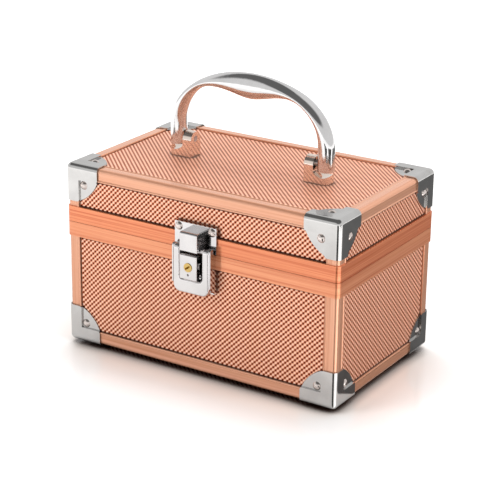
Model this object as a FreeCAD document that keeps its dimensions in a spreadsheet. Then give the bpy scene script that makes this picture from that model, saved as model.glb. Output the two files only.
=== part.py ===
import FreeCAD, Part
import math
import os
from types import SimpleNamespace

import Sketcher
from FreeCAD import Matrix, Placement, Rotation, Vector

# Driving dimensions, in millimetres and degrees
DRIVING = {
    # Shell of the case, measured over the edge profiles
    "case_width": 200.0,
    "case_depth": 122.0,
    "base_height": 82.0,
    "lid_height": 38.5,
    "floor_clearance": 3.5,
    "panel_thickness": 4.0,
    "lining_thickness": 1.5,
    "fit_gap": 0.05,
    "running_gap": 0.05,
    # Edge profiles
    "profile_flange": 8.6,
    "profile_thickness": 1.0,
    "profile_radius": 2.5,
    "lip_width": 1.4,
    "lip_rise": 0.35,
    "mitre_gap": 0.1,
    # Rims at the seam
    "rim_proud": 0.9,
    "base_rim_height": 9.6,
    "lid_rim_height": 10.3,
    "rim_inner_height": 7.0,
    "rim_inner_leg": 1.0,
    "rim_web": 2.0,
    "upstand_height": 3.0,
    "upstand_thickness": 1.5,
    "seam_gap": 0.3,
    # Corner caps
    "cap_leg": 25.0,
    "cap_thickness": 1.0,
    "cap_step_wall": 0.7,
    "cap_plate": 0.8,
    "cap_reach": 26.5,
    "cap_rivet_inset": 12.6,
    # Rivets
    "rivet_head_radius": 2.8,
    "rivet_head_height": 1.5,
    "rivet_shank_radius": 1.5,
    # Feet
    "foot_radius": 6.0,
    "foot_taper": 1.2,
    "foot_inset": 34.0,
    # Handle and its brackets
    "handle_half_span": 55.2,
    "handle_rise": 50.0,
    "arch_rise": 41.7,
    "leg_radius": 5.5,
    "leg_below_pivot": 4.2,
    "neck_angle": 41.0,
    "neck_thickness": 5.7,
    "neck_depth": 13.0,
    "grip_thickness": 16.7,
    "grip_depth": 11.2,
    "pivot_height": 12.2,
    "pivot_pin_radius": 2.0,
    "pivot_pin_engagement": 7.0,
    "bracket_ear": 6.6,
    "bracket_gap": 0.8,
    "bracket_outer_length": 10.7,
    "bracket_depth": 11.0,
    "bracket_height": 17.0,
    "bracket_end_round": 4.0,
    "trough_radius": 7.7,
    "screw_radius": 1.5,
    "screw_head_radius": 2.8,
    "screw_head_height": 1.5,
    "screw_engagement": 3.2,
    "screw_inset": 3.2,
    # Latch, heights counted from the seam
    "keeper_half_width": 15.3,
    "latch_half_width": 14.2,
    "latch_plate_thickness": 1.2,
    "latch_reach": 7.0,
    "latch_seam_gap": 0.4,
    "keeper_height": 17.3,
    "hook_half_width": 6.4,
    "hook_top": 14.1,
    "hook_roof": 3.0,
    "hook_round": 1.6,
    "hook_bottom": 1.8,
    "tongue_thickness": 2.5,
    "latch_plate_drop": 25.8,
    "cheek_thickness": 0.9,
    "cheek_reach": 6.0,
    "flap_pivot_reach": 3.95,
    "flap_pivot_rise": 2.6,
    "flap_pin_radius": 1.0,
    "barrel_radius": 2.2,
    "flap_side_gap": 0.2,
    "flap_bar": 4.9,
    "flap_thickness": 4.0,
    "flap_drop": 26.7,
    "flap_window_drop": 17.3,
    "flap_corner_radius": 5.0,
    "flap_window_radius": 2.0,
    "flap_edge_round": 1.5,
    "lock_half_width": 6.2,
    "lock_top_drop": 0.3,
    "lock_height": 15.9,
    "lock_proud": 2.5,
    "lock_edge_round": 0.5,
    "plug_radius": 2.9,
    "plug_drop": 8.1,
    "plug_proud": 0.4,
    "plug_tail_radius": 1.0,
    "key_slot_length": 4.4,
    "key_slot_width": 1.2,
    "key_slot_depth": 2.4,
    "key_slot_angle": 35.0,
    "index_hole_radius": 0.8,
    "index_hole_drop": 13.1,
    "index_hole_depth": 2.0,
    "cam_thickness": 1.2,
    "cam_length": 7.4,
    "cam_width": 3.6,
    "cam_gap": 0.3,
    "tab_thickness": 1.2,
    "tab_reach": 1.7,
    "tab_height": 4.0,
    "keeper_rivet_offset": 12.2,
    "keeper_rivet_rise": 14.3,
    "plate_rivet_offset": 10.0,
    "plate_rivet_drop": 20.0,
    # Back hinges
    "hinge_offset": 52.0,
    "leaf_half_width": 16.0,
    "leaf_height": 8.8,
    "leaf_thickness": 1.2,
    "knuckle_radius": 2.2,
    "knuckle_half_width": 5.0,
    "knuckle_gap": 0.3,
    "hinge_pin_radius": 1.0,
    "heel_reach": 4.0,
    "heel_half_thickness": 0.8,
    "leaf_rivet_offset": 11.0,
    "leaf_rivet_rise": 5.4,
}


class Size:
    """A length that carries its present value and the sheet expression that gives it."""

    def __init__(self, value, text):
        self.value = value
        self.text = text

    @staticmethod
    def of(other):
        if isinstance(other, Size):
            return other
        return Size(float(other), str(float(other)))

    def joined(self, sign, other, value):
        return Size(value, f"({self.text} {sign} {other.text})")

    def __add__(self, other):
        other = Size.of(other)
        return self.joined("+", other, self.value + other.value)

    def __sub__(self, other):
        other = Size.of(other)
        return self.joined("-", other, self.value - other.value)

    def __mul__(self, other):
        other = Size.of(other)
        return self.joined("*", other, self.value * other.value)

    def __truediv__(self, other):
        other = Size.of(other)
        return self.joined("/", other, self.value / other.value)

    def __radd__(self, other):
        return Size.of(other) + self

    def __rsub__(self, other):
        return Size.of(other) - self

    def __rmul__(self, other):
        return Size.of(other) * self

    def __neg__(self):
        return Size.of(0) - self

    def root(self):
        return Size(math.sqrt(self.value), f"sqrt({self.text})")


doc = FreeCAD.newDocument("cosmetic_case")
sheet = doc.addObject("Spreadsheet::Sheet", "sizes")
for row, (alias, number) in enumerate(DRIVING.items(), start=1):
    sheet.set(f"A{row}", alias)
    sheet.set(f"B{row}", str(number))
    sheet.setAlias(f"B{row}", alias)
doc.recompute()
d = SimpleNamespace(**{name: Size(float(sheet.get(name)), f"sizes.{name}") for name in DRIVING})

# Places worked out from the driving dimensions
half_width = d.case_width / 2
half_depth = d.case_depth / 2
frame_bottom = d.floor_clearance
seam = frame_bottom + d.base_height
frame_top = seam + d.lid_height
lid_edge = seam + d.seam_gap
board = d.profile_thickness + d.fit_gap
board_inside = board + d.panel_thickness
lining_outside = board_inside + d.fit_gap
lining_inside = lining_outside + d.lining_thickness
bottom_board_face = frame_bottom + board
top_board_face = frame_top - board
base_rim_low = seam - d.base_rim_height
lid_rim_high = lid_edge + d.lid_rim_height
lid_web_low = lid_edge + d.upstand_height
rim_channel = board_inside + d.fit_gap
rim_inside = rim_channel + d.rim_inner_leg
front_rim_face = -(half_depth + d.rim_proud)
back_rim_face = half_depth + d.rim_proud
pivot_level = top_board_face + d.pivot_height
hinge_axis_out = d.knuckle_radius + d.knuckle_gap
hinge_axis_rise = d.seam_gap / 2
lock_front = d.latch_reach + d.lock_proud
plug_front = lock_front + d.plug_proud
# The whole case is shifted so that the latch and the hinges reach equally far from the origin
middle_shift = (plug_front - hinge_axis_out - d.heel_reach) / 2

X = Vector(1, 0, 0)
Y = Vector(0, 1, 0)
Z = Vector(0, 0, 1)
ZERO = Size.of(0)
# Directions of a face's own x, y and outward z
FACE_AXES = {
    "front": (X, Z, -Y),
    "back": (-X, Z, Y),
    "left": (-Y, Z, -X),
    "right": (Y, Z, X),
    "top": (X, Y, Z),
    "bottom": (X, -Y, -Z),
}
SIDES = ("front", "back", "left", "right")
PIECES = []


def new_body(name):
    body = doc.addObject("PartDesign::Body", name)
    body.Label = name
    PIECES.append(body)
    return body


def new_piece(name, shape):
    """A piece whose solid is set directly, for forms that sketches and primitives don't give."""
    piece = doc.addObject("Part::Feature", name)
    piece.Label = name
    piece.Shape = shape
    PIECES.append(piece)
    return piece


def place(piece, x, y, z, axes=(X, Y, Z)):
    """Puts a piece at a point of the case, with its own axes along the given directions."""
    point = [Size.of(x), Size.of(y) + middle_shift, Size.of(z)]
    piece.Placement = Placement(Vector(*[p.value for p in point]), Rotation(*axes, "XYZ"))
    for letter, coordinate in zip("xyz", point):
        piece.setExpression(f"Placement.Base.{letter}", coordinate.text)


def sketch_on(body, role, name, lift=ZERO):
    """A sketch on one of the body's origin planes, raised along the plane's normal."""
    sketch = body.newObject("Sketcher::SketchObject", f"{body.Name}_{name}")
    plane = next(f for f in body.Origin.OriginFeatures if f.Role == role)
    sketch.AttachmentSupport = [(plane, "")]
    sketch.MapMode = "FlatFace"
    sketch.setExpression("AttachmentOffset.Base.z", Size.of(lift).text)
    return sketch


def hold(sketch, kind, element, point, length):
    length = Size.of(length)
    index = sketch.addConstraint(Sketcher.Constraint(kind, -1, 1, element, point, length.value))
    sketch.setExpression(f"Constraints[{index}]", length.text)


def draw(sketch, corners):
    """Draws a closed outline through corners (x, y). A corner that an arc arrives at is
    (x, y, centre x, centre y, turn), with turn 1 for an anticlockwise arc and -1 for a clockwise one."""
    first = sketch.GeometryCount
    tails, heads = [], []
    for i, corner in enumerate(corners):
        start = Vector(Size.of(corners[i - 1][0]).value, Size.of(corners[i - 1][1]).value, 0)
        end = Vector(Size.of(corner[0]).value, Size.of(corner[1]).value, 0)
        if len(corner) == 2:
            sketch.addGeometry(Part.LineSegment(start, end))
            tails.append(1)
            heads.append(2)
            continue
        centre = Vector(Size.of(corner[2]).value, Size.of(corner[3]).value, 0)
        circle = Part.Circle(centre, Z, (end - centre).Length)
        order = (start, end) if corner[4] > 0 else (end, start)
        angles = [math.atan2(p.y - centre.y, p.x - centre.x) for p in order]
        sketch.addGeometry(Part.ArcOfCircle(circle, *angles))
        tails.append(1 if corner[4] > 0 else 2)
        heads.append(2 if corner[4] > 0 else 1)
        chord = end - start
        if abs(chord.x) > abs(chord.y):
            hold(sketch, "DistanceY", first + i, 3, corner[3])
        else:
            hold(sketch, "DistanceX", first + i, 3, corner[2])
    for i, corner in enumerate(corners):
        following = (i + 1) % len(corners)
        joint = (first + i, heads[i], first + following, tails[following])
        sketch.addConstraint(Sketcher.Constraint("Coincident", *joint))
        hold(sketch, "DistanceX", first + i, heads[i], corner[0])
        hold(sketch, "DistanceY", first + i, heads[i], corner[1])


def draw_circle(sketch, x, y, radius):
    x, y, radius = Size.of(x), Size.of(y), Size.of(radius)
    element = sketch.addGeometry(Part.Circle(Vector(x.value, y.value, 0), Z, radius.value))
    hold(sketch, "DistanceX", element, 3, x)
    hold(sketch, "DistanceY", element, 3, y)
    index = sketch.addConstraint(Sketcher.Constraint("Radius", element, radius.value))
    sketch.setExpression(f"Constraints[{index}]", radius.text)


def rectangle(x_low, y_low, x_high, y_high):
    return [(x_low, y_low), (x_high, y_low), (x_high, y_high), (x_low, y_high)]


def rounded_rectangle(half_x, half_y, radius):
    """An anticlockwise rectangle about the origin with round corners."""
    a, b, r = half_x, half_y, radius
    return [
        (a - r, -b),
        (a, r - b, a - r, r - b, 1),
        (a, b - r),
        (a - r, b, a - r, b - r, 1),
        (r - a, b),
        (-a, b - r, r - a, b - r, 1),
        (-a, r - b),
        (r - a, -b, r - a, r - b, 1),
    ]


def pad(body, sketch, length, backwards=False):
    feature = body.newObject("PartDesign::Pad", f"{sketch.Name}_pad")
    feature.Profile = sketch
    feature.setExpression("Length", Size.of(length).text)
    feature.Reversed = backwards
    return feature


def pocket(body, sketch, depth=None, forwards=False):
    """Cuts against the sketch's normal, or along it if forwards, and right through if no depth is given."""
    feature = body.newObject("PartDesign::Pocket", f"{sketch.Name}_pocket")
    feature.Profile = sketch
    feature.Reversed = forwards
    if depth is None:
        feature.Type = "ThroughAll"
    else:
        feature.setExpression("Length", Size.of(depth).text)
    return feature


def round_edges(body, radius, chosen):
    """Rounds the edges of the body's last feature that the test picks."""
    doc.recompute()
    base = body.Tip
    names = [f"Edge{i}" for i, edge in enumerate(base.Shape.Edges, start=1) if chosen(edge)]
    fillet = body.newObject("PartDesign::Fillet", f"{body.Name}_round{len(body.Group)}")
    fillet.Base = (base, names)
    fillet.setExpression("Radius", radius.text)
    return fillet


def lies_at(edge, axis, level):
    """True where the whole edge lies at one level along an axis."""
    box = edge.BoundBox
    low, high = getattr(box, f"{axis}Min"), getattr(box, f"{axis}Max")
    return abs(low - level) < 1e-4 and abs(high - level) < 1e-4


def cylinder_between(start, direction, radius, length):
    return Part.makeCylinder(radius, length, start, direction)


# Boards: flat panels with rivet holes, drawn from outside, with the outer face at their own z = 0
def make_board(name, face, corners, holes, x, y, z):
    body = new_body(name)
    sketch = sketch_on(body, "XY_Plane", "outline")
    draw(sketch, rectangle(*corners))
    for hole_x, hole_y, radius in holes:
        draw_circle(sketch, hole_x, hole_y, radius)
    pad(body, sketch, d.panel_thickness, backwards=True)
    place(body, x, y, z, FACE_AXES[face])
    return body


rivet_hole = d.rivet_shank_radius + d.fit_gap
front_board_half = half_width - board
side_board_half = half_depth - board_inside - d.fit_gap
wall_low = bottom_board_face + d.panel_thickness + d.fit_gap
wall_high = seam - d.rim_web - d.fit_gap
lid_wall_low = lid_web_low + d.rim_web + d.fit_gap
lid_wall_high = top_board_face - d.panel_thickness - d.fit_gap
base_rivet_level = frame_bottom + d.cap_rivet_inset
lid_rivet_level = frame_top - d.cap_rivet_inset
face_origin = {
    "front": (0, board - half_depth),
    "back": (0, half_depth - board),
    "left": (board - half_width, 0),
    "right": (half_width - board, 0),
}
latch_holes = {
    "base": [(side * d.plate_rivet_offset, seam - d.plate_rivet_drop, rivet_hole) for side in (-1, 1)],
    "lid": [(side * d.keeper_rivet_offset, lid_edge + d.keeper_rivet_rise, rivet_hole) for side in (-1, 1)],
}
for half, low, high, level in (
    ("base", wall_low, wall_high, base_rivet_level),
    ("lid", lid_wall_low, lid_wall_high, lid_rivet_level),
):
    for face in SIDES:
        along_width = face in ("front", "back")
        reach = front_board_half if along_width else side_board_half
        rivet_at = (half_width if along_width else half_depth) - d.cap_rivet_inset
        holes = [(side * rivet_at, level, rivet_hole) for side in (-1, 1)]
        if face == "front":
            holes += latch_holes[half]
        corners = (-reach, low, reach, high)
        make_board(f"{half}_{face}_panel", face, corners, holes, *face_origin[face], 0)

flat_half_x = half_width - board
flat_half_y = half_depth - board
corner_holes = [
    (sx * (half_width - d.cap_rivet_inset), sy * (half_depth - d.cap_rivet_inset), rivet_hole)
    for sx in (-1, 1)
    for sy in (-1, 1)
]
flat_corners = (-flat_half_x, -flat_half_y, flat_half_x, flat_half_y)
ear_inner = d.handle_half_span - d.leg_radius - d.bracket_gap - d.bracket_ear
bracket_length = d.bracket_ear + d.bracket_outer_length
screws_along = (d.screw_inset, bracket_length - d.screw_inset)
screw_places = [side * (ear_inner + along) for side in (-1, 1) for along in screws_along]
make_board("bottom_panel", "bottom", flat_corners, corner_holes, 0, 0, bottom_board_face)
screw_holes = [(at, ZERO, d.screw_radius + d.fit_gap) for at in screw_places]
top_panel = make_board("top_panel", "top", flat_corners, corner_holes + screw_holes, 0, 0, top_board_face)
sinks = sketch_on(top_panel, "XY_Plane", "screw_sinks", -d.panel_thickness)
for at in screw_places:
    draw_circle(sinks, at, ZERO, d.screw_head_radius + d.fit_gap)
pocket(top_panel, sinks, d.screw_head_height + d.fit_gap, forwards=True)


# Edge profiles: an L-section with a rounded outer corner and a raised lip along each free edge
def make_profile(name, length, mitred_ends, x, y, z, axes):
    """The section lies in the profile's own YZ plane with its outer corner at the origin."""
    body = new_body(name)
    f, t, r, w = d.profile_flange, d.profile_thickness, d.profile_radius, d.lip_width
    sag = d.lip_rise
    lip_radius = (w * w / 4 + sag * sag) / (2 * sag)
    lip_middle = f - w / 2
    lip_depth = lip_radius - sag
    section = sketch_on(body, "YZ_Plane", "section")
    draw(
        section,
        [
            (r, ZERO, r, r, 1),
            (f - w, ZERO),
            (f, ZERO, lip_middle, lip_depth, 1),
            (f, t),
            (t, t),
            (t, f),
            (ZERO, f),
            (ZERO, f - w, lip_depth, lip_middle, 1),
            (ZERO, r),
        ],
    )
    pad(body, section, length)
    over = f / 2
    near, far = d.mitre_gap, length - d.mitre_gap
    for role, forwards in (("XY_Plane", True), ("XZ_Plane", False)):
        lift = -over if forwards else over
        cut = sketch_on(body, role, f"mitre_{role[:2]}", lift)
        draw(cut, [(near - over, -over), (near + f + over, f + over), (near - over, f + over)])
        if mitred_ends == 2:
            draw(cut, [(far + over, -over), (far + over, f + over), (far - f - over, f + over)])
        pocket(body, cut, forwards=forwards)
    place(body, x, y, z, axes)


def right_handed(along, first, second):
    if along.cross(first).dot(second) > 0:
        return along, first, second
    return along, second, first


for half, level, up, post_length in (
    ("base", frame_bottom, Z, d.base_height - d.base_rim_height - d.fit_gap),
    ("lid", frame_top, -Z, d.lid_height - d.seam_gap - d.lid_rim_height - d.fit_gap),
):
    edge_name = "bottom" if half == "base" else "top"
    for face, inward, y in (("front", Y, -half_depth), ("back", -Y, half_depth)):
        axes = right_handed(X, inward, up)
        make_profile(f"{edge_name}_{face}_profile", d.case_width, 2, -half_width, y, level, axes)
    for face, inward, x in (("left", X, -half_width), ("right", -X, half_width)):
        axes = right_handed(Y, inward, up)
        make_profile(f"{edge_name}_{face}_profile", d.case_depth, 2, x, -half_depth, level, axes)
    for depth_name, y_in, y in (("front", Y, -half_depth), ("back", -Y, half_depth)):
        for side_name, x_in, x in (("left", X, -half_width), ("right", -X, half_width)):
            axes = right_handed(up, x_in, y_in)
            make_profile(f"{half}_{depth_name}_{side_name}_post", post_length, 1, x, y, level, axes)


# Rims: closed channels round the seam. The lid's rim has a rebate that closes over the base's upstand
def add_ring(body, name, outside, radius, inside, low, high):
    """A flat ring between two distances in from the frame, from one level up to another."""
    sketch = sketch_on(body, "XY_Plane", name, low)
    if radius is None:
        a, b = half_width - outside, half_depth - outside
        draw(sketch, rectangle(-a, -b, a, b))
    else:
        draw(sketch, rounded_rectangle(half_width - outside, half_depth - outside, radius))
    a, b = half_width - inside, half_depth - inside
    draw(sketch, rectangle(-a, -b, a, b))
    pad(body, sketch, high - low)


def drill_hinge_holes(body, level):
    """Blind rivet holes in the back of a rim, just through its outer leg."""
    sketch = sketch_on(body, "XZ_Plane", "hinge_holes", -(back_rim_face - d.rim_proud - d.profile_thickness))
    for side in (-1, 1):
        for hand in (-1, 1):
            draw_circle(sketch, side * d.hinge_offset + hand * d.leaf_rivet_offset, level, rivet_hole)
    pocket(body, sketch, 2 * d.rim_proud + d.profile_thickness)


rim_radius = d.profile_radius + d.rim_proud
hinge_axis_level = seam + hinge_axis_rise
base_rim = new_body("base_rim")
add_ring(base_rim, "outer_leg", -d.rim_proud, rim_radius, d.profile_thickness, base_rim_low, seam)
add_ring(base_rim, "web", -d.rim_proud, rim_radius, rim_inside, seam - d.rim_web, seam)
add_ring(base_rim, "inner_leg", rim_channel, None, rim_inside, seam - d.rim_inner_height, seam)
upstand_out = rim_inside - d.upstand_thickness
add_ring(base_rim, "upstand", upstand_out, None, rim_inside, seam, seam + d.upstand_height)
drill_hinge_holes(base_rim, hinge_axis_level - d.leaf_rivet_rise)
place(base_rim, 0, 0, 0)

lid_rim = new_body("lid_rim")
lid_web_high = lid_web_low + d.rim_web
add_ring(lid_rim, "outer_leg", -d.rim_proud, rim_radius, d.profile_thickness, lid_edge, lid_rim_high)
add_ring(lid_rim, "foot", -d.rim_proud, rim_radius, upstand_out - d.seam_gap, lid_edge, lid_web_high)
add_ring(lid_rim, "web", -d.rim_proud, rim_radius, rim_inside, lid_web_low, lid_web_high)
add_ring(lid_rim, "inner_leg", rim_channel, None, rim_inside, lid_web_low, lid_edge + d.rim_inner_height)
drill_hinge_holes(lid_rim, hinge_axis_level + d.leaf_rivet_rise)
place(lid_rim, 0, 0, 0)


# Linings: open trays that sit against the boards
def make_lining(name, height, z, axes):
    body = new_body(name)
    a, b = half_width - lining_outside, half_depth - lining_outside
    tray = sketch_on(body, "XY_Plane", "tray")
    draw(tray, rectangle(-a, -b, a, b))
    pad(body, tray, height)
    a, b = half_width - lining_inside, half_depth - lining_inside
    hollow = sketch_on(body, "XY_Plane", "hollow", height)
    draw(hollow, rectangle(-a, -b, a, b))
    pocket(body, hollow, height - d.lining_thickness)
    place(body, 0, 0, z, axes)


base_lining_top = seam - d.rim_inner_height - d.fit_gap
lid_lining_low = lid_edge + d.rim_inner_height + d.fit_gap
make_lining("base_lining", base_lining_top - wall_low, wall_low, (X, Y, Z))
make_lining("lid_lining", lid_wall_high - lid_lining_low, lid_wall_high, FACE_AXES["bottom"])


# Corner caps: a rounded three-sided shell over the profiles, stepping down to riveted plates on the boards
def cap_shape():
    """The outer corner of the cap is at the origin and its three walls run along +X, +Y and +Z."""
    leg, skin = d.cap_leg.value, d.cap_thickness.value
    shell_round = d.profile_radius.value + skin
    # The shell is hollowed so that it sits on the lips of the profiles
    hollow = skin - d.lip_rise.value - d.fit_gap.value
    plate_low = skin + d.profile_thickness.value
    plate_high = plate_low - d.cap_plate.value
    step_in = skin + d.profile_flange.value + d.fit_gap.value
    step_out = step_in + d.cap_step_wall.value
    corner = Vector(0, 0, 0)

    def rounded_cube(low, radius):
        cube = Part.makeBox(2 * leg, 2 * leg, 2 * leg, Vector(low, low, low))
        nearest = Vector(low, low, low)
        edges = [e for e in cube.Edges if min(v.Point.distanceToPoint(nearest) for v in e.Vertexes) < 1e-6]
        return cube.makeFillet(radius, edges)

    cap = rounded_cube(0, shell_round).cut(rounded_cube(hollow, shell_round - hollow))
    for turn in range(3):
        spin = Rotation(Vector(1, 1, 1), 120 * turn)
        block = Part.makeBox(leg, leg, plate_low, Vector(step_in, step_in, 0))
        recess = Part.makeBox(2 * leg, 2 * leg, plate_high, Vector(step_out, step_out, 0))
        inset = d.cap_rivet_inset.value + skin
        hole = Part.makeCylinder(rivet_hole.value, 2 * plate_low, Vector(inset, inset, 0))
        for solid in (block, recess, hole):
            solid.rotate(corner, spin.Axis, math.degrees(spin.Angle))
        cap = cap.fuse(block).cut(recess).cut(hole)
    envelope = Part.makeBox(leg, leg, leg).common(Part.makeSphere(d.cap_reach.value))
    return cap.common(envelope).removeSplitter()


master_cap = cap_shape()
for half, z, up in (("bottom", frame_bottom - d.cap_thickness, Z), ("top", frame_top + d.cap_thickness, -Z)):
    for depth_name, y_in, y in (("front", Y, -1), ("back", -Y, 1)):
        for side_name, x_in, x in (("left", X, -1), ("right", -X, 1)):
            cap = new_piece(f"{half}_{depth_name}_{side_name}_cap", master_cap.copy())
            cap_x, cap_y = x * (half_width + d.cap_thickness), y * (half_depth + d.cap_thickness)
            place(cap, cap_x, cap_y, z, right_handed(up, x_in, y_in))


# Rivets: domed heads on short shanks
def rivet(point, outward, shank_length):
    radius, height = d.rivet_head_radius.value, d.rivet_head_height.value
    shank, length = d.rivet_shank_radius.value, shank_length.value
    sphere = (radius * radius + height * height) / (2 * height)
    crown = Vector(0, 0, height)
    bend = math.asin(radius / sphere) / 2
    shoulder = Vector(sphere * math.sin(bend), 0, height - sphere * (1 - math.cos(bend)))
    edge = Part.Wire(
        [
            Part.LineSegment(Vector(0, 0, -length), Vector(shank, 0, -length)).toShape(),
            Part.LineSegment(Vector(shank, 0, -length), Vector(shank, 0, 0)).toShape(),
            Part.LineSegment(Vector(shank, 0, 0), Vector(radius, 0, 0)).toShape(),
            Part.Arc(Vector(radius, 0, 0), shoulder, crown).toShape(),
            Part.LineSegment(crown, Vector(0, 0, -length)).toShape(),
        ]
    )
    solid = Part.Face(edge).revolve(Vector(0, 0, 0), Z, 360)
    solid.Placement = Placement(Vector(*[Size.of(p).value for p in point]), Rotation(Z, outward))
    return solid


cap_shank = d.cap_plate + d.panel_thickness
plate_setback = d.profile_thickness - d.cap_plate
plate_shank = d.latch_plate_thickness + d.rim_proud + d.profile_thickness + d.panel_thickness
leaf_shank = d.leaf_thickness + d.rim_proud
for half, level, flat_z, flat_out in (
    ("base", base_rivet_level, frame_bottom + plate_setback, -Z),
    ("lid", lid_rivet_level, frame_top - plate_setback, Z),
):
    rivets = []
    for sx in (-1, 1):
        for sy in (-1, 1):
            x, y = sx * (half_width - d.cap_rivet_inset), sy * (half_depth - d.cap_rivet_inset)
            rivets.append(rivet((sx * (half_width - plate_setback), y, level), sx * X, cap_shank))
            rivets.append(rivet((x, sy * (half_depth - plate_setback), level), sy * Y, cap_shank))
            rivets.append(rivet((x, y, flat_z), flat_out, cap_shank))
    for hole_x, hole_z, _ in latch_holes[half]:
        rivets.append(rivet((hole_x, front_rim_face - d.latch_plate_thickness, hole_z), -Y, plate_shank))
    leaf_level = hinge_axis_level + (-1 if half == "base" else 1) * d.leaf_rivet_rise
    for side in (-1, 1):
        for hand in (-1, 1):
            x = side * d.hinge_offset + hand * d.leaf_rivet_offset
            rivets.append(rivet((x, back_rim_face + d.leaf_thickness, leaf_level), Y, leaf_shank))
    place(new_piece(f"{half}_rivets", Part.makeCompound(rivets)), 0, 0, 0)

# Feet: tapered pads under the bottom board
foot_height = bottom_board_face
feet = []
for sx in (-1, 1):
    for sy in (-1, 1):
        x, y = sx * (half_width - d.foot_inset), sy * (half_depth - d.foot_inset)
        toe = d.foot_radius - d.foot_taper
        foot = Part.makeCone(toe.value, d.foot_radius.value, foot_height.value, Vector(x.value, y.value, 0))
        feet.append(foot)
place(new_piece("feet", Part.makeCompound(feet)), 0, 0, 0)


# Handle brackets: arch-sided blocks, cut to a tall ear and a trough that clears the handle's leg
def make_bracket(name, x, axes):
    """The ear's inner face is at the bracket's own x = 0 and its foot at z = 0."""
    body = new_body(name)
    arch = sketch_on(body, "YZ_Plane", "arch")
    b = d.bracket_depth / 2
    spring = d.bracket_height - b
    draw(arch, [(-b, ZERO), (b, ZERO), (b, spring), (-b, spring, ZERO, spring, 1)])
    pad(body, arch, bracket_length)
    leg_x = d.bracket_ear + d.bracket_gap + d.leg_radius
    ear, end, r = d.bracket_ear, bracket_length, d.trough_radius
    ear_level = d.pivot_height - (r * r - (leg_x - ear) * (leg_x - ear)).root()
    lip_level = d.pivot_height - (r * r - (end - leg_x) * (end - leg_x)).root()
    above = d.bracket_height + d.bracket_gap
    trough = sketch_on(body, "XZ_Plane", "trough", -d.bracket_depth)
    draw(
        trough,
        [(ear, above), (ear, ear_level), (end, lip_level, leg_x, d.pivot_height, 1), (end, above)],
    )
    pocket(body, trough, forwards=True)
    sides = (-b.value, b.value)
    round_edges(
        body,
        d.bracket_end_round,
        lambda edge: lies_at(edge, "X", end.value) and any(lies_at(edge, "Y", y) for y in sides),
    )
    bore = sketch_on(body, "YZ_Plane", "pin_bore")
    draw_circle(bore, ZERO, d.pivot_height, d.pivot_pin_radius + d.fit_gap)
    pocket(body, bore, d.bracket_ear, forwards=True)
    threads = sketch_on(body, "XY_Plane", "screw_holes")
    for along in screws_along:
        draw_circle(threads, along, ZERO, d.screw_radius + d.fit_gap)
    pocket(body, threads, d.screw_engagement + d.fit_gap, forwards=True)
    place(body, x, 0, top_board_face, axes)


make_bracket("left_handle_bracket", -ear_inner, (-X, -Y, Z))
make_bracket("right_handle_bracket", ear_inner, (X, Y, Z))

pins, screws = [], []
pin_reach = d.bracket_ear + d.bracket_gap + d.pivot_pin_engagement
for side in (-1, 1):
    start = Vector(side * ear_inner.value, 0, pivot_level.value)
    pins.append(cylinder_between(start, side * X, d.pivot_pin_radius.value, pin_reach.value))
for at in screw_places:
    head_level = top_board_face - d.panel_thickness
    head_start = Vector(at.value, 0, head_level.value)
    head = cylinder_between(head_start, Z, d.screw_head_radius.value, d.screw_head_height.value)
    length = d.panel_thickness + d.screw_engagement
    shank = cylinder_between(head_start, Z, d.screw_radius.value, length.value)
    screws.append(head.fuse(shank))
place(new_piece("handle_pins", Part.makeCompound(pins)), 0, 0, 0)
place(new_piece("bracket_screws", Part.makeCompound(screws)), 0, 0, 0)


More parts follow.
